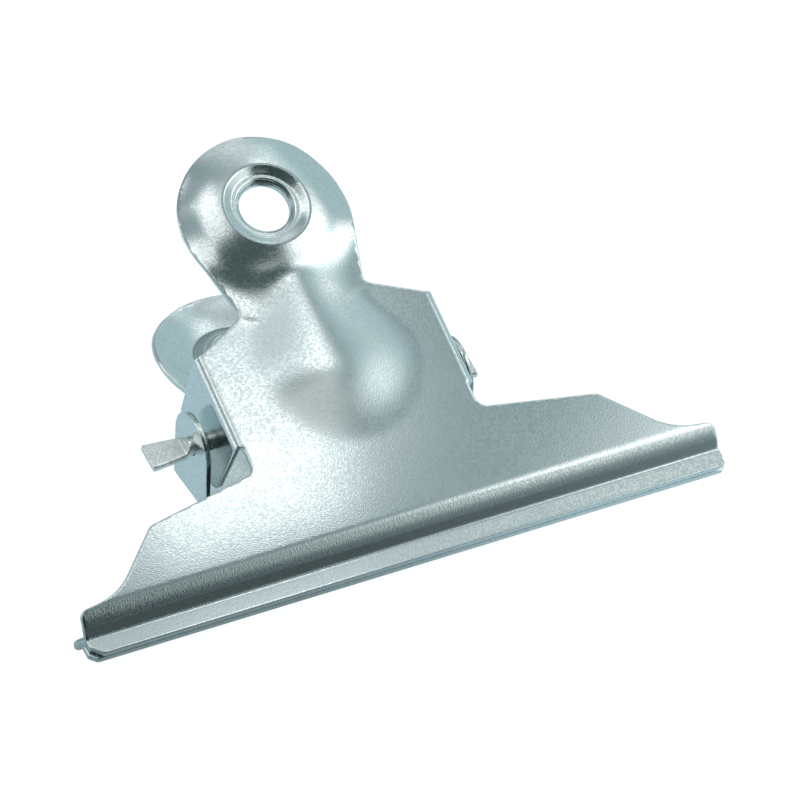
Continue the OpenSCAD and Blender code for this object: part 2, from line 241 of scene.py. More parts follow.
# %% The pressed ring
RING_STEPS = ([HOLE_R, 4.2, 4.7, RING_R], [1.5, 0.9, 0.9, 0.0])
RING_SOFT = np.linspace(-0.22, 0.22, 7)


def ring_points(r, angle):
    """Blank coordinates of points at distance r and angle round the hole's axis, on the dome."""
    up = r * np.sin(angle) * math.cos(ring_lean) - np.sqrt(DOME_R**2 - r**2) * math.sin(ring_lean)
    return np.stack([r * np.cos(angle), DOME_V + up], -1)


def ring_fall(x, v, w):
    """How far the ring falls below the dome at a point of it: the mean of the steps close by."""
    across = (v - DOME_V) * math.cos(ring_lean) + (w - dome_w) * math.sin(ring_lean)
    r = np.hypot(x, across)
    return sum(np.interp(r + d, *RING_STEPS) for d in RING_SOFT) / len(RING_SOFT)


print("depth of the ring's step and of the hole's rim:", RING_STEPS[1][1], RING_STEPS[1][0])

# %% [markdown]
# The outside of the sheet is its side view with the pressed height added square to it, and its ears
# turned down round the fold's roll. The inside has to lie one sheet's thickness below it everywhere,
# so it is found square to the surface, from two short steps along it, and not by a second drawing.

# %% The sheet's two faces
RING_ZONE = 8


def outside(x, t, fold_x):
    """Outside of the sheet in the jaw's plane: side path plus raised form, with the ears folded in."""
    v, w, nv, nw = side_path(t)
    up = raised(x, v)
    ear = np.where((t > FOLD_FROM), np.clip(np.abs(x) - fold_x, 0, None), 0)
    turn = np.clip(ear / FOLD_R, 0, math.pi / 2)
    straight = np.clip(ear - FOLD_R * math.pi / 2, 0, None)
    out_x = np.sign(x) * (np.abs(x) - ear + FOLD_R * np.sin(turn))
    fall = FOLD_R * (1 - np.cos(turn)) + straight
    up = np.where(ear > 0, -fall, up)
    return np.stack([out_x, v + up * nv, w + up * nw], -1)


def faces_of(x, t, fold_x):
    """Outer and inner face: the inner one lies a sheet's thickness below, square to the surface."""
    e = 1e-3
    p = outside(x, t, fold_x)
    across = outside(x + e, t, fold_x) - outside(x - e, t, fold_x)
    upwards = outside(x, t + e, fold_x) - outside(x, t - e, fold_x)
    n = np.cross(across, upwards)
    n /= np.linalg.norm(n, axis=-1, keepdims=True)
    by_ring = (np.abs(t - HOLE_V) < RING_ZONE) * (np.abs(x) < RING_ZONE)
    fall = ring_fall(x, p[..., 1], p[..., 2]) * by_ring
    down = fall[..., None] * np.array([0, math.sin(ring_lean), -math.cos(ring_lean)])
    return p + down, p - SHEET * n + down


over, under = faces_of(np.array([20.0]), np.array([12.0]), 30)
print("sheet's thickness on the body:", np.linalg.norm(over - under).round(3), "mm")

# %% [markdown]
# Outlines are corners with a radius each. A rounded corner is an arc that touches both edges.
# The loop is then cut into even steps of about a third of a millimetre. Each corner below is its place
# across, its height up the sheet, and its radius.

# %% Outlines of the two blanks
FRONT_HALF_W, REAR_HALF_W, EAR_WALL, REAR_EAR_R = 17.85, 20.15, 3.5, 4.75
FRONT_MOUTH, REAR_MOUTH, FRONT_CORNER, REAR_CORNER = 47.2, 47.5, 1.5, 1.0
OUTLINE_STEP, SHARP = 0.3, 0.01
WING_FOOT, WING_TOP = [41.3, 1.8, 9.5], [33.4, 9.7, 1.8]


def rounded(corners, n=9):
    """Points of an outline through corners (x, t, radius): each corner gives the arc inside it."""
    c = np.array(corners, float)
    a, b, d = np.roll(c[:, :2], 1, 0), c[:, :2], np.roll(c[:, :2], -1, 0)
    u = (a - b) / np.linalg.norm(a - b, axis=1, keepdims=True)
    w = (d - b) / np.linalg.norm(d - b, axis=1, keepdims=True)
    half = np.arccos(np.clip((u * w).sum(1), -1, 1)) / 2
    mid = b + (u + w) / np.linalg.norm(u + w, axis=1, keepdims=True) * (c[:, 2] / np.sin(half))[:, None]
    reach = (c[:, 2] / np.tan(half))[:, None]
    p, q = b + u * reach - mid, b + w * reach - mid
    start = np.arctan2(p[:, 1], p[:, 0])
    sweep = (np.arctan2(q[:, 1], q[:, 0]) - start + 3 * math.pi) % (2 * math.pi) - math.pi
    turn = start[:, None] + sweep[:, None] * np.linspace(0, 1, n)
    arcs = mid[:, None] + c[:, 2, None, None] * np.stack([np.cos(turn), np.sin(turn)], -1)
    return arcs.reshape(-1, 2)


def even(loop, gap):
    """The same closed loop with points at even distances of about gap, its own points kept nearly."""
    ends = np.vstack([loop, loop[:1]])
    far = np.concatenate([[0], np.cumsum(np.linalg.norm(np.diff(ends, axis=0), axis=1))])
    at = np.linspace(0, far[-1], int(far[-1] / gap), endpoint=False)
    return np.stack([np.interp(at, far, ends[:, 0]), np.interp(at, far, ends[:, 1])], -1)


lobe_turn = np.linspace(touch, math.pi / 2, 40)
LOBE = [[HANDLE_R * math.cos(a), HANDLE_V + HANDLE_R * math.sin(a), SHARP] for a in lobe_turn]
EAR_END = FOLD_R * math.pi / 2 - FOLD_R


def half_outline(half_mouth, corner, fold_x, ear):
    """Right half of a blank, from the middle of the lip's lower edge to the tip of the handle."""
    wing = [[half_mouth - corner, T_LIP, 0.15], [half_mouth, T_LIP + corner, 0.15], [half_mouth, 1, 1.3]]
    wing += [WING_FOOT, WING_TOP, [fold_x, 12.7, 1.5]]
    return wing + ear + [[NECK_W, NECK_V, 1.0]] + LOBE


def whole(half):
    """Close an outline by its mirror image."""
    right = np.array(half, float)
    left = right[-2::-1] * [-1, 1, 1]
    return even(rounded(np.vstack([right, left])), OUTLINE_STEP)


front_fold, rear_fold = FRONT_HALF_W - FOLD_R, REAR_HALF_W - FOLD_R
front_tab = front_fold + EAR_END + PIN_D / 2 + EAR_WALL - pin_w
rear_tab = rear_fold + EAR_END - pin_w
front_ear = [[front_fold, 16.7, 0.45], [front_tab, 16.7, 2], [front_tab, 29.1, 2], [front_fold, 31.0, 1.2]]
nose = np.linspace(-math.pi / 2, math.pi / 2, 19)
rear_ear = [[rear_fold, pin_v - REAR_EAR_R, 0.45]]
rear_ear += [[rear_tab + REAR_EAR_R * math.cos(a), pin_v + REAR_EAR_R * math.sin(a), SHARP] for a in nose]
rear_ear += [[rear_fold, pin_v + REAR_EAR_R, 0.45], [rear_fold, 31.4, 1.2]]
front_loop = whole(half_outline(FRONT_MOUTH, FRONT_CORNER, front_fold, front_ear))
rear_loop = whole(half_outline(REAR_MOUTH, REAR_CORNER, rear_fold, rear_ear))
print("points round the blanks:", len(front_loop), len(rear_loop))

# %% [markdown]
# The blank is filled with a lattice whose rows crowd where the sheet bends sharply, and with rings of
# points round the hanging hole. A Delaunay triangulation joins them and keeps every edge of the
# outlines. The same triangles then serve the outer and the inner face, and a strip that rolls over
# closes their rim.

# %% Triangles of a blank
RING_RADII = np.concatenate([np.arange(HOLE_R + 0.1, 6.45, 0.1), [6.55]])
HOLE_POINTS, BORE_POINTS, HOLE_SLACK, BORE_SLACK = 96, 40, 0.05, 0.02
LATTICE_FROM, OUTLINE_GAP, BORE_GAP = 6.75, 0.24, 0.3
LATTICE_ROWS = (
    np.arange(T_LIP + 0.3, -3.5, 0.4), np.arange(-3.35, -2.55, 0.1), np.arange(-2.3, -1.6, 0.3),
    np.arange(-1.5, 1.8, 0.2), np.arange(2.1, 60, 0.5),
)
LATTICE_COLS = np.arange(-47.25, 47.5, 0.5)


def circle_loop(x, t, r, n):
    """Points of a circle about (x, t), clockwise as a hole's rim runs."""
    a = np.linspace(0, -2 * math.pi, n, endpoint=False)
    return np.stack([x + r * np.cos(a), t + r * np.sin(a)], -1)


def clear_of(points, loop, gap):
    """Which points lie at least gap from every point of a loop."""
    d = ((points[:, None] - loop[None]) ** 2).sum(-1)
    return d.min(1) > gap * gap


def blank(loop, hole_x):
    """Triangulate a blank: returns its points, triangles, and the loops of its rim as indices."""
    hole = ring_points(HOLE_R, np.linspace(0, -2 * math.pi, HOLE_POINTS, endpoint=False))
    bores = [circle_loop(s * hole_x, pin_v, PIN_HOLE_R, BORE_POINTS) for s in (-1, 1)]
    loops = [loop, hole] + bores
    lattice = np.stack(np.meshgrid(LATTICE_COLS, np.concatenate(LATTICE_ROWS)), -1).reshape(-1, 2)
    near = np.hypot(lattice[:, 0], lattice[:, 1] - HOLE_V)
    lattice = lattice[(near > LATTICE_FROM) & clear_of(lattice, loop, OUTLINE_GAP)]
    for bore in bores:
        lattice = lattice[clear_of(lattice, bore, BORE_GAP)]
    angle = np.linspace(0, 2 * math.pi, HOLE_POINTS, endpoint=False)
    rings = ring_points(RING_RADII[:, None], angle[None]).reshape(-1, 2)
    ends = np.cumsum([0] + [len(l) for l in loops])
    fixed = [np.arange(a, b) for a, b in zip(ends[:-1], ends[1:])]
    edges = np.vstack([np.stack([f, np.roll(f, -1)], -1) for f in fixed])
    cloud = np.vstack(loops + [lattice, rings])
    verts, _, tris, source, _, _ = delaunay_2d_cdt(
        [Vector(p) for p in cloud.tolist()], edges.tolist(), [fixed[0].tolist()], 1, 1e-6
    )
    points, tris = np.array([tuple(v) for v in verts]), np.array(tris)
    place = {s: i for i, group in enumerate(source) for s in group}
    rims = [np.array([place[i] for i in f]) for f in fixed]
    centre = points[tris].mean(1)
    keep = np.hypot(centre[:, 0], (centre[:, 1] - HOLE_V)) > HOLE_R - HOLE_SLACK
    for s in (-1, 1):
        keep &= np.hypot(centre[:, 0] - s * hole_x, centre[:, 1] - pin_v) > PIN_HOLE_R - BORE_SLACK
    used, tris = np.unique(tris[keep], return_inverse=True)
    spot = np.full(len(points), -1)
    spot[used] = np.arange(len(used))
    return points[used], tris.reshape(-1, 3), [spot[r] for r in rims]


def mesh_piece(name, points, faces, smooth=True):
    """A mesh object from arrays, in metres."""
    mesh = bpy.data.meshes.new(name)
    mesh.from_pydata(points.tolist(), [], [list(f) for f in faces])
    mesh.polygons.foreach_set("use_smooth", np.full(len(mesh.polygons), smooth))
    piece = bpy.data.objects.new(name, mesh)
    bpy.context.scene.collection.objects.link(piece)
    return piece


def band(grid):
    """Four corners of each face between the rows of a grid of indices, whose columns close round."""
    beside = np.roll(grid, -1, 1)
    return np.stack([grid[:-1], beside[:-1], beside[1:], grid[1:]], -1).reshape(-1, 4)


print("lattice:", sum(len(r) for r in LATTICE_ROWS), "rows of", len(LATTICE_COLS))

# %% [markdown]
# Each jaw is then one closed skin: outer face, inner face, and round every edge a strip of small
# steps, each an inset from the outline and a depth in the sheet, which makes the soft cut edge.
# Painted shade is kept as a number on the points: a band along the lip's crease and a thin line
# round the ring, where the colour is darkened so that the finish can follow it.

# %% The two jaws
# painted shade: the lip's crease and a thin line just outside the ring are darkened in colour
CREASE_SHADE_RUN, CREASE_SHADE_SHARE = [-3.6, -3.1, -1.6, -0.6], 0.14
RING_SHADE_OUT, RING_SHADE_WIDTH, RING_SHADE_SHARE = 0.12, 0.13, 0.75
RIM = [(0.15, 0.0), (0.07, 0.03), (0.02, 0.09), (0.0, 0.2), (0.0, 0.66), (0.02, 0.75), (0.08, 0.8)]


def crease(x, t):
    """Painted shade: how dark a point is painted, a band along the lip's crease and a thin bell curve round
    the ring.
    """
    lip = np.interp(t, CREASE_SHADE_RUN, [0, CREASE_SHADE_SHARE, CREASE_SHADE_SHARE, 0])
    r = np.hypot(x, (t - DOME_V + DOME_R * math.sin(ring_lean)) / math.cos(ring_lean))
    return lip + RING_SHADE_SHARE * np.exp(-((r - RING_R - RING_SHADE_OUT) / RING_SHADE_WIDTH) ** 2)


def jaw(name, loop, fold_x, hole_x, side):
    """A pressed jaw: outer face, inner face, and a rim that rolls over from one to the other."""
    flat, tris, rims = blank(loop, hole_x)
    outer_at, inner_at = flat.copy(), flat.copy()
    strips = []
    for rim in rims:
        p = flat[rim]
        along = np.roll(p, -1, 0) - np.roll(p, 1, 0)
        out = np.stack([along[:, 1], -along[:, 0]], -1) / np.linalg.norm(along, axis=1, keepdims=True)
        outer_at[rim] = p - out * RIM[0][0]
        inner_at[rim] = p - out * RIM[-1][0]
        rows = []
        for inset, depth in RIM[1:-1]:
            q = p - out * inset
            o, i = faces_of(q[:, 0], q[:, 1], fold_x)
            rows.append(o + (i - o) * (depth / SHEET))
        strips.append(np.stack(rows))
    n = len(flat)
    points = [faces_of(outer_at[:, 0], outer_at[:, 1], fold_x)[0]]
    points += [faces_of(inner_at[:, 0], inner_at[:, 1], fold_x)[1]]
    quads, base = [], 2 * n
    for rim, strip in zip(rims, strips):
        k, m = strip.shape[:2]
        grid = np.vstack([rim[None], base + np.arange(k * m).reshape(k, m), rim[None] + n])
        quads.append(band(grid)[:, [1, 0, 3, 2]])
        points.append(strip.reshape(-1, 3))
        base += k * m
    tri_faces, quad_faces = np.vstack([tris, tris[:, ::-1] + n]), np.vstack(quads)
    if side > 0:
        tri_faces, quad_faces = tri_faces[:, ::-1], quad_faces[:, ::-1]
    piece = mesh_piece(name, placed(np.vstack(points), side), tri_faces.tolist() + quad_faces.tolist())
    at = np.vstack([outer_at, inner_at] + [np.tile(flat[r], (len(s), 1)) for r, s in zip(rims, strips)])
    # the painted shade of the creases is stored on the points
    shade_mark = piece.data.attributes.new("crease", "FLOAT", "POINT")
    shade_mark.data.foreach_set("value", crease(at[:, 0], at[:, 1]).astype(np.float32))
    print(name, "triangles:", len(tri_faces) + 2 * len(quad_faces))
    return piece


front = jaw("front_jaw_sheet", front_loop, front_fold, front_fold + EAR_END - pin_w, -1)
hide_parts("front_jaw")
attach(front, "front_jaw")
rear = jaw("rear_jaw_sheet", rear_loop, rear_fold, rear_fold + EAR_END - pin_w, 1)
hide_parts("rear_jaw")
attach(rear, "rear_jaw")

# %% [markdown]
# The pin is drawn wire. Its ends are pressed flat after the clip is assembled, so the round section
# turns into a wide thin one with soft corners. It is a section carried along X: a superellipse whose
# two half widths and squareness change with the place along the pin.

# %% The hinge pin
PIN_ROOT, PIN_WAIST = 20.35, 1.3
LEFT_END, RIGHT_END = 6.2, 1.9
PIN_R, ROOT_HALF, TIP_HALF, FLAT_HALF = PIN_D / 2, 1.55, 2.1, 0.55
END_RUN, END_SHRINK = 0.3, 0.25
ROUND_POWER, FLAT_POWER = 2, 7


def pin_section(x):
    """Half width across, half thickness and squareness of the pin at x."""
    past = np.abs(x) - PIN_ROOT
    length = np.where(x < 0, LEFT_END, RIGHT_END)
    s = eased(past, 0, PIN_WAIST)
    wide = ROOT_HALF + (TIP_HALF - ROOT_HALF) * np.clip(past / length, 0, 1)
    end = np.clip((past - length + END_RUN) / END_RUN, 0, 1)
    shrink = END_SHRINK * (1 - np.sqrt(1 - end**2))
    half_w = PIN_R + (wide - PIN_R) * s - shrink
    half_t = PIN_R + (FLAT_HALF - PIN_R) * s - shrink
    return half_w, half_t, ROUND_POWER + (FLAT_POWER - ROUND_POWER) * s


def pin_piece():
    """Sections of the pin from left to right, |y / a| and |z / b| to a power adding up to one."""
    # the rows crowd at the cut ends and where the round wire turns flat
    xs = np.concatenate([
        -PIN_ROOT - LEFT_END + np.linspace(0, END_RUN, 6),
        np.linspace(-PIN_ROOT - LEFT_END + 0.6, -PIN_ROOT - 1.5, 14),
        np.linspace(-PIN_ROOT - 1.35, -PIN_ROOT, 14),
        np.linspace(-PIN_ROOT + 0.5, PIN_ROOT - 0.5, 30),
        np.linspace(PIN_ROOT, PIN_ROOT + 1.5, 16),
        PIN_ROOT + RIGHT_END - np.linspace(END_RUN, 0, 6),
    ])
    a = np.linspace(0, 2 * math.pi, 48, endpoint=False)
    half_w, half_t, power = (c[:, None] for c in pin_section(xs))
    y = np.sign(np.cos(a)) * np.abs(np.cos(a)) ** (2 / power) * half_t
    z = np.sign(np.sin(a)) * np.abs(np.sin(a)) ** (2 / power) * half_w
    grid = np.stack([np.broadcast_to(xs[:, None], y.shape), y, z + PIN_H], -1)
    rows, m = y.shape
    i = np.arange(rows * m).reshape(rows, m)
    ends_at = np.array([[xs[0], 0, PIN_H], [xs[-1], 0, PIN_H]])
    first = np.stack([np.full(m, rows * m), np.roll(i[0], -1), i[0]], -1)
    last = np.stack([np.full(m, rows * m + 1), i[-1], np.roll(i[-1], -1)], -1)
    points = laid(np.vstack([grid.reshape(-1, 3), ends_at]))
    faces = [part[:, ::-1].tolist() for part in (band(i), first, last)]
    return mesh_piece("pin_pressed_ends", points, faces[0] + faces[1] + faces[2])


pin = pin_piece()
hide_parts("hinge_pin")
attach(pin, "pin")
print("pin faces:", len(pin.data.polygons))

# %% [markdown]
# The spring is one length of round wire: a straight leg under the front handle, a winding round the
# pin, and a leg under the rear handle. Its shape is baked into the frame where it stands.

# %% The spring
WIRE_D, COIL_R, COIL_TURNS, COIL_GAP, LEG_LEN, LEG_GAP = 1.6, 3.2, 6, 0.5, 14, 0.15
CUT_END = 0.82
COIL_STEPS, LEG_STEPS, LEG_START = 240, 30, 0.4
coil_half = (WIRE_D + COIL_GAP) * (COIL_TURNS + 0.5) / 2
leg_seat = tongue_w + math.sqrt((TONGUE_R - SHEET) ** 2 - coil_half**2) - pin_w - WIRE_D / 2 - LEG_GAP
leg_lean = BODY_TILT + math.asin(leg_seat / math.hypot(COIL_R, LEG_LEN)) - math.atan2(COIL_R, LEG_LEN)
coil_sweep = 2 * math.pi * (COIL_TURNS + 0.5) - 2 * leg_lean


def wire_line():
    """Middle of the wire: leg, helix whose place along X grows evenly with its turn, leg."""
    part = np.linspace(0, 1, COIL_STEPS)
    turn = math.pi + leg_lean + part * coil_sweep
    coil = np.stack([coil_half * (2 * part - 1), COIL_R * np.cos(turn), COIL_R * np.sin(turn)], -1)
    legs = np.linspace(LEG_LEN, LEG_START, LEG_STEPS)[:, None]
    lead = coil[0] + legs * [0, -math.sin(leg_lean), math.cos(leg_lean)]
    tail = coil[-1] + legs[::-1] * [0, math.sin(leg_lean), math.cos(leg_lean)]
    return np.vstack([lead, coil, tail]) + [0, 0, PIN_H]


def tube(name, line, r, sides=20):
    """A round tube along a line: at each point a circle square to the way the line runs there."""
    way = np.gradient(line, axis=0)
    way /= np.linalg.norm(way, axis=1, keepdims=True)
    u = np.cross(way, [1, 0, 0])
    u /= np.linalg.norm(u, axis=1, keepdims=True)
    w = np.cross(way, u)
    a = np.linspace(0, 2 * math.pi, sides, endpoint=False)
    radius = np.full(len(line), r)
    radius[[0, -1]] = r * CUT_END
    ring = u[:, None] * np.cos(a)[None, :, None] + w[:, None] * np.sin(a)[None, :, None]
    points = line[:, None] + radius[:, None, None] * ring
    i = np.arange(points.shape[0] * sides).reshape(-1, sides)
    faces = band(i).tolist() + [i[0][::-1].tolist(), i[-1].tolist()]
    return mesh_piece(name, laid(points.reshape(-1, 3)), faces)


spring = tube("wound_spring", wire_line(), WIRE_D / 2)
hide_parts("spring")
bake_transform(spring)
print("spring faces:", len(spring.data.polygons))

# %% [markdown]
# Shader sums read best as sums. This small class wraps a socket, and each operator adds the Math node
# that it stands for. Every other node comes from one function that takes its type, settings and inputs.

# %% Shader expressions
class Wire:
    """A socket in a node tree that can be added, multiplied, and taken from a number."""

    def __init__(self, tree, socket):
        self.tree, self.socket = tree, socket

    def math(self, operation, a, b):
        """The Math node of an operation on two sockets or numbers."""
        return node(self.tree, "ShaderNodeMath", {"operation": operation}, {0: a, 1: b})

    def __add__(self, other):
        return self.math("ADD", self, other)

    def __mul__(self, other):
        return self.math("MULTIPLY", self, other)

    def __rsub__(self, other):
        return self.math("SUBTRACT", other, self)

    __radd__, __rmul__ = __add__, __mul__


def node(tree, kind, settings=None, inputs=None, out=0):
    """Add a node: settings are set first, then its sockets get numbers or links."""
    made = tree.nodes.new(kind)
    for key, value in (settings or {}).items():
        setattr(made, key, value)
    for key, value in (inputs or {}).items():
        if isinstance(value, Wire):
            tree.links.new(value.socket, made.inputs[key])
        else:
            made.inputs[key].default_value = value
    return Wire(tree, made.outputs[out])


def smooth_step(tree, value, low, high):
    """0 below low, 1 above high, and an S between them."""
    settings = {"interpolation_type": "SMOOTHSTEP"}
    return node(tree, "ShaderNodeMapRange", settings, {"Value": value, "From Min": low, "From Max": high})


def part_of(tree, vector, axis):
    """One of the three numbers of a vector."""
    return node(tree, "ShaderNodeSeparateXYZ", {}, {0: vector}, out=axis)


def noise(tree, where, scale, detail, rough=0.5):
    """Soft noise from 0 to 1, scale cells to a metre."""
    settings = {"Vector": where, "Scale": scale, "Detail": detail, "Roughness": rough}
    return node(tree, "ShaderNodeTexNoise", {}, settings)


def blend_colour(tree, share, a, b):
    """Colour a where share is 0, colour b where it is 1."""
    return node(tree, "ShaderNodeMix", {"data_type": "RGBA"}, {0: share, 6: a, 7: b}, out=2)


print("a socket now takes a + b, a * b and 1 - a")

# %% [markdown]
# Bright zinc plating is a mirror made soft by its own crystals. Each one, a third of a millimetre
# wide, reflects a little more or less than the next and is a little smoother or rougher, so crystals
# are cells that vary the colour and the roughness together. A much shallower and finer bump keeps
# mirror images from having a hard edge. Painted shade: creased places are mixed towards a darker
# grey. The pin and the wire have a coarser grain and no plating: the pin is pale and satin, the spring is
# dark.

# %% Plated steel
CLOUDS, FINER = 130, 1.6
CLOUD_SHADE, CRYSTAL_SHADE = 0.2, 0.8
CLOUD_ROUGH, CRYSTAL_ROUGH = 0.08, 0.12
# the grey of the painted shade in the creases
CREASE_SHADE_GREY = (0.2, 0.26, 0.27, 1)


def metal(name, colour, dull, rough, grain, depth, creased=False):
    """A metal of mean roughness rough: crystals, grain of them to a metre, run from colour to dull."""
    made = bpy.data.materials.new(name)
    made.use_nodes = True
    tree = made.node_tree
    tree.nodes.clear()
    where = node(tree, "ShaderNodeTexCoord", out=3)
    clouds = noise(tree, where, CLOUDS, 3)
    fine = noise(tree, where, grain * FINER, 0.5)
    cells = {"Vector": where, "Scale": grain, "Randomness": 1.0}
    crystal = part_of(tree, node(tree, "ShaderNodeTexVoronoi", {}, cells, out=1), 0)
    shade = smooth_step(tree, clouds, 0.3, 0.7) * CLOUD_SHADE + crystal * CRYSTAL_SHADE
    base = blend_colour(tree, shade, (*colour, 1), (*dull, 1))
    # painted shade: where the points carry a crease number, the colour is mixed towards a dark grey
    if creased:
        crease_shading = node(tree, "ShaderNodeAttribute", {"attribute_name": "crease"}, out=2)
        base = blend_colour(tree, crease_shading, base, CREASE_SHADE_GREY)
    # clouds and crystals are a half on average, so half of their reach is taken off the roughness
    least = rough - (CLOUD_ROUGH + CRYSTAL_ROUGH) / 2
    roughness = clouds * CLOUD_ROUGH + crystal * CRYSTAL_ROUGH + least
    bump = node(tree, "ShaderNodeBump", {}, {"Strength": 1.0, "Distance": depth, "Height": fine})
    inputs = {"Metallic": 1.0, "Base Color": base, "Roughness": roughness, "Normal": bump}
    shader = node(tree, "ShaderNodeBsdfPrincipled", {}, inputs)
    out = tree.nodes.new("ShaderNodeOutputMaterial")
    tree.links.new(shader.socket, out.inputs["Surface"])
    return made


plating = metal("bright_plating", (0.83, 0.87, 0.87), (0.66, 0.72, 0.72), 0.17, 3600, 0.8e-5, creased=True)
bare = metal("pressed_wire_steel", (0.96, 0.97, 0.94), (0.78, 0.79, 0.76), 0.34, 1800, 4e-5)
sprung = metal("spring_wire_steel", (0.42, 0.44, 0.45), (0.3, 0.31, 0.32), 0.3, 1500, 1e-5)
for piece, material in ((front, plating), (rear, plating), (pin, bare), (spring, sprung)):
    piece.data.materials.append(material)
print("materials:", [m.name for m in bpy.data.materials])

# %% [markdown]
# A shiny thing shows the room, so most of its look is made by what stands round it. The camera sees a
# white floor, but a floor as bright as that would whiten all the steel that faces it. A Light Path
# node tells the two apart: rays from the camera meet white, and rays that come by way of the steel
# meet a dimmer and bluer floor, brighter behind and beside the clip and just in front of its lip. The
# floor is a backdrop, not a piece of the clip.

# %% The floor
HALF_FLOOR, FLOOR_DROP = 1.5, 2e-5
SEEN_GLOW, LEAST_GLOW = 0.97, 0.02
BEHIND_GLOW, BESIDE_GLOW, LIP_GLOW, FRONT_GLOW = 0.6, 0.25, 0.3, 0.25
floor_points = np.array([[-1, -1, 0], [1, -1, 0], [1, 1, 0], [-1, 1, 0]]) * HALF_FLOOR - [0, 0, FLOOR_DROP]
floor = mesh_piece("floor", floor_points, [[0, 1, 2, 3]], smooth=False)
pale = bpy.data.materials.new("pale_floor")
pale.use_nodes = True
sheet = pale.node_tree
skin = sheet.nodes["Principled BSDF"]
skin.inputs["Base Color"].default_value = (0.12, 0.12, 0.12, 1)
skin.inputs["Roughness"].default_value = 0.9
skin.inputs["Specular IOR Level"].default_value = 0.0
ground = node(sheet, "ShaderNodeTexCoord", out=3)
across, along = part_of(sheet, ground, 0), part_of(sheet, ground, 1)
behind = smooth_step(sheet, along, -0.04, 0.0)
beside = smooth_step(sheet, across, 0.0, 0.12)
near_front = smooth_step(sheet, along, -0.05, -0.042)
by_the_lip = near_front * smooth_step(sheet, across, -0.02, 0.03)
in_front = (by_the_lip * LIP_GLOW + near_front * FRONT_GLOW) * (1 - behind)
mirrored = behind * BEHIND_GLOW + beside * BESIDE_GLOW + in_front + LEAST_GLOW
seen = node(sheet, "ShaderNodeLightPath")
glow = seen * SEEN_GLOW + (1 - seen) * mirrored
tint = blend_colour(sheet, seen, (0.66, 0.9, 1.0, 1), (1, 1, 1, 1))
sheet.links.new(glow.socket, skin.inputs["Emission Strength"])
sheet.links.new(tint.socket, skin.inputs["Emission Color"])
floor.data.materials.append(pale)
print("floor:", 2 * HALF_FLOOR, "m wide")

# %% [markdown]
# The lights are soft boxes. Flat steel shows a box as a bright field with the box's own edge, so each
# box fades towards its edges, by its own coordinates, which run from 0 to 1 over its face. The boxes
# hang where the mirror directions of the clip's faces lead: over the body, at the right of it, and
# narrow strips for the tongue, the body's middle and the bend. Boxes that overlap hang at different
# heights, because a ray sees only one of two lights in the same plane.

# %% The soft boxes
BOXES = {
    "overhead_box": ((0, 16, 228), -0.35, (104, 68), (20, 66), 0.43),
    "right_box": ((171, -103, 187), -0.72, (93, 96), (49, 77), 1.05),
    "front_box": ((165, -195, 187), -0.72, (55, 45), (30, 30), 0.9),
    "rear_box": ((36, 85, 105), 0.2, (61, 99), (66, 106), 0.46),
    "body_strip": ((50, -33, 187), -0.03, (41, 14), (41, 3), 0.7),
    "crest_box": ((23, -24.5, 184), 0.0, (43, 12.5), (12, 7), 0.5),
    "tongue_strip": ((-2, -25, 54), 0.0, (20, 8), (10, 2.5), 0.5),
    "bend_strip": ((78, -61, 79), 0.0, (45, 9), (35, 7), 0.4),
}


def softbox(name, at, turn, half, soft, strength):
    """A light that faces down at a point in millimetres, turned about Z, with edges that fade over soft."""
    width, depth = 2 * half[0], 2 * half[1]
    lamp = bpy.data.lights.new(name, "AREA")
    lamp.shape, lamp.size, lamp.size_y = "RECTANGLE", width * MM, depth * MM
    lamp.energy = math.pi * width * depth * MM * MM
    lamp.use_nodes = True
    tree = lamp.node_tree
    tree.nodes.clear()
    spot = node(tree, "ShaderNodeNewGeometry", out=5)
    fade = 1.0
    for axis, size, edge in ((0, width, soft[0]), (1, depth, soft[1])):
        place = part_of(tree, spot, axis)
        near = node(tree, "ShaderNodeMath", {"operation": "MINIMUM"}, {0: place, 1: 1 - place})
        fade = smooth_step(tree, near, 0.0, min(edge / size, 0.5)) * fade
    glow = node(tree, "ShaderNodeEmission", {}, {"Strength": fade * strength})
    out = tree.nodes.new("ShaderNodeOutputLight")
    tree.links.new(glow.socket, out.inputs[0])
    thing = bpy.data.objects.new(name, lamp)
    bpy.context.scene.collection.objects.link(thing)
    thing.location = Vector(at) * MM
    thing.rotation_euler = (0, 0, turn)
    thing.visible_camera = False


for name, facts in BOXES.items():
    softbox(name, *facts)

# %% [markdown]
# The sky is the rest of the room: grey-blue, brighter at the right and dark on the side where the
# camera stands, which is what draws the dark band across the handle's neck. A few soft windows in it
# give the steel its bright places. A window is a range of directions, x to the right and y to the
# back, each edge of which rises or falls over a pair of values.

# %% The sky
PLAIN_SKY, SIDE_SKY = (0.26, 0.342, 0.36, 1), (0.45, 0.60, 0.62, 1)
DIM_SKY, DARK_SKY = (0.06, 0.098, 0.096, 1), (0.022, 0.036, 0.036, 1)
LOW_SKY, LIP_SKY = (0.72, 0.80, 0.80, 1), (0.85, 0.92, 0.92, 1)
WINDOW, BRIGHT_SPOT = (1.0, 1.05, 1.05, 1), (1.1, 1.15, 1.15, 1)
SPOT_AT = (0.75, -0.16, 0.642)
world = bpy.data.worlds.new("studio")
bpy.context.scene.world = world
world.use_nodes = True
sky = world.node_tree
sky.nodes.clear()
way = node(sky, "ShaderNodeTexCoord")
x_way, y_way = part_of(sky, way, 0), part_of(sky, way, 1)


def window(x_rise=None, x_fall=None, y_rise=None, y_fall=None):
    """1 within a range of directions and 0 outside: the product of its rising and falling edges."""
    share = 1.0
    for value, rise, fall in ((x_way, x_rise, x_fall), (y_way, y_rise, y_fall)):
        if rise:
            share = smooth_step(sky, value, *rise) * share
        if fall:
            share = (1 - smooth_step(sky, value, *fall)) * share
    return share


def either(a, b):
    """1 where one of two shares is 1: one less the product of what they leave."""
    return 1 - (1 - a) * (1 - b)


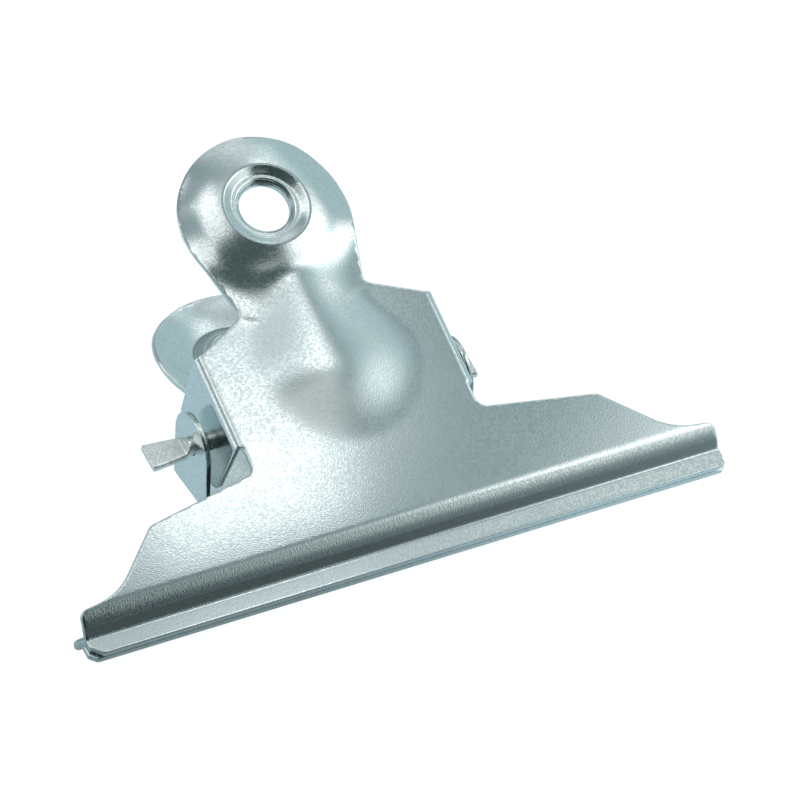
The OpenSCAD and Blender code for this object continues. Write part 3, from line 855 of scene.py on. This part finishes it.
camera_side = window(x_fall=(0.30, 0.46), y_fall=(-0.48, -0.38))
over_left = window(x_fall=(0.26, 0.40), y_fall=(-0.22, -0.13))
low_right = window(x_rise=(0.33, 0.43), y_rise=(-0.92, -0.72), y_fall=(-0.42, -0.30))
left_window = window((-0.52, -0.42), (-0.11, 0.01), (-0.40, -0.29), (0.26, 0.38))
far_left = window(x_fall=(-0.72, -0.64), y_rise=(0.06, 0.14))
over_lip = window((0.35, 0.43), (0.48, 0.6), (0.10, 0.20), (0.34, 0.46))
streak = window((0.605, 0.65), (0.72, 0.78), (-0.5, -0.3), (0.03, 0.1))
to_spot = node(sky, "ShaderNodeVectorMath", {"operation": "SUBTRACT"}, {0: way, 1: SPOT_AT})
off_spot = node(sky, "ShaderNodeVectorMath", {"operation": "LENGTH"}, {0: to_spot}, out=1)
dim = blend_colour(sky, smooth_step(sky, y_way, -0.9, -0.5), DARK_SKY, DIM_SKY)
tone = blend_colour(sky, smooth_step(sky, x_way, 0.44, 0.56), PLAIN_SKY, SIDE_SKY)
for share, colour in (
    (either(camera_side, over_left), dim), (low_right, LOW_SKY), (either(left_window, far_left), WINDOW),
    (over_lip, LIP_SKY), (streak, WINDOW), (1 - smooth_step(sky, off_spot, 0.07, 0.15), BRIGHT_SPOT),
):
    tone = blend_colour(sky, share, tone, colour)
background = node(sky, "ShaderNodeBackground", {}, {"Color": tone, "Strength": 1.0})
out = sky.nodes.new("ShaderNodeOutputWorld")
sky.links.new(background.socket, out.inputs["Surface"])
print("sky nodes:", len(sky.nodes))

# %% [markdown]
# The camera is a long lens, about 0.84 m away, in front of the clip, to its left and well above it.
# Its directions were fitted to the outlines of both jaws, for the clip standing upright, and are
# turned here as the clip is laid. It aims a little beside the clip's middle and has no lens shift.

# %% The camera
PHOTO_PX, FOCAL_PX, FAR, LOOK_Z = 800, 6282.4, 843.28, 25.0
RIGHT, UP, BACK = (0.891, -0.137, -0.434), (0.261, -0.628, 0.733), (-0.373, -0.766, -0.523)
OFF_RIGHT, OFF_UP = 64.93 / FOCAL_PX, 23.3 / FOCAL_PX


def turned(v):
    """A direction of the upright clip, turned as the clip is laid."""
    return Vector((laid(np.array(v, float)) - laid(np.zeros(3))) / MM)


right, up, back = turned(RIGHT), turned(UP), turned(BACK)
aim = (-back + right * OFF_RIGHT + up * OFF_UP).normalized()
side = aim.cross(up).normalized()
top = side.cross(aim)
camera = bpy.data.objects.new("camera", bpy.data.cameras.new("camera"))
bpy.context.scene.collection.objects.link(camera)
camera.data.lens = FOCAL_PX / PHOTO_PX * camera.data.sensor_width
camera.data.clip_start, camera.data.clip_end = 0.05, 20
place = Vector(laid(np.array([0, 0, LOOK_Z]))) + back * FAR * MM
camera.matrix_world = Matrix.Translation(place) @ Matrix((side, top, -aim)).transposed().to_4x4()
bpy.context.scene.camera = camera
bpy.context.scene.view_settings.view_transform = "Standard"
print("lens:", round(camera.data.lens, 1), "mm, at", [round(c, 3) for c in place])
